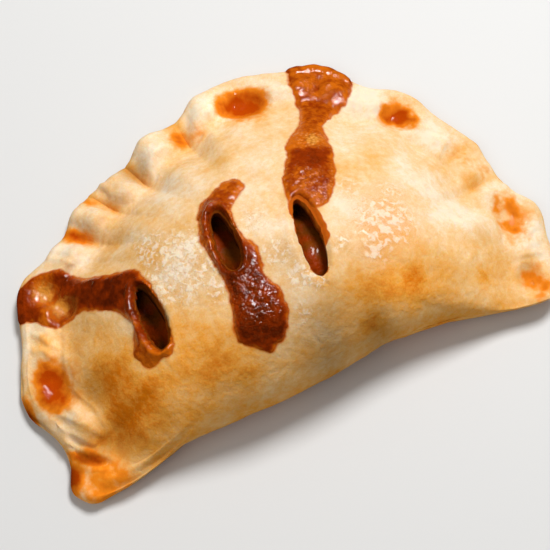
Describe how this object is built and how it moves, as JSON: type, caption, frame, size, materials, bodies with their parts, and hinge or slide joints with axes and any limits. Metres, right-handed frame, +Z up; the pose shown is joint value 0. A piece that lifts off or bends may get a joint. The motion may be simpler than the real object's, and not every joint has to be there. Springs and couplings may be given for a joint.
{
  "type": "turnover pastry",
  "caption": "Half-moon apple turnover with a crimped, egg-washed rim, three steam slits and dark caramelised juice run out over a smooth golden crust.",
  "frame": {"origin": "in the flat base, on the middle of the pastry's length, 12 mm behind the line that the crimped arc is measured from", "axes": "+X along the fold towards the right-hand tip, +Y from the fold towards the crimped arc, +Z up out of the domed crust"},
  "size_m": [0.1292, 0.0825, 0.0311],
  "materials": {
    "pastry": "baked golden, egg-washed",
    "cooked_apple": "wet, caramelised"
  },
  "bodies": {
    "root": {"crust": "pastry", "filling": "cooked_apple"}
  },
  "joints": []
}
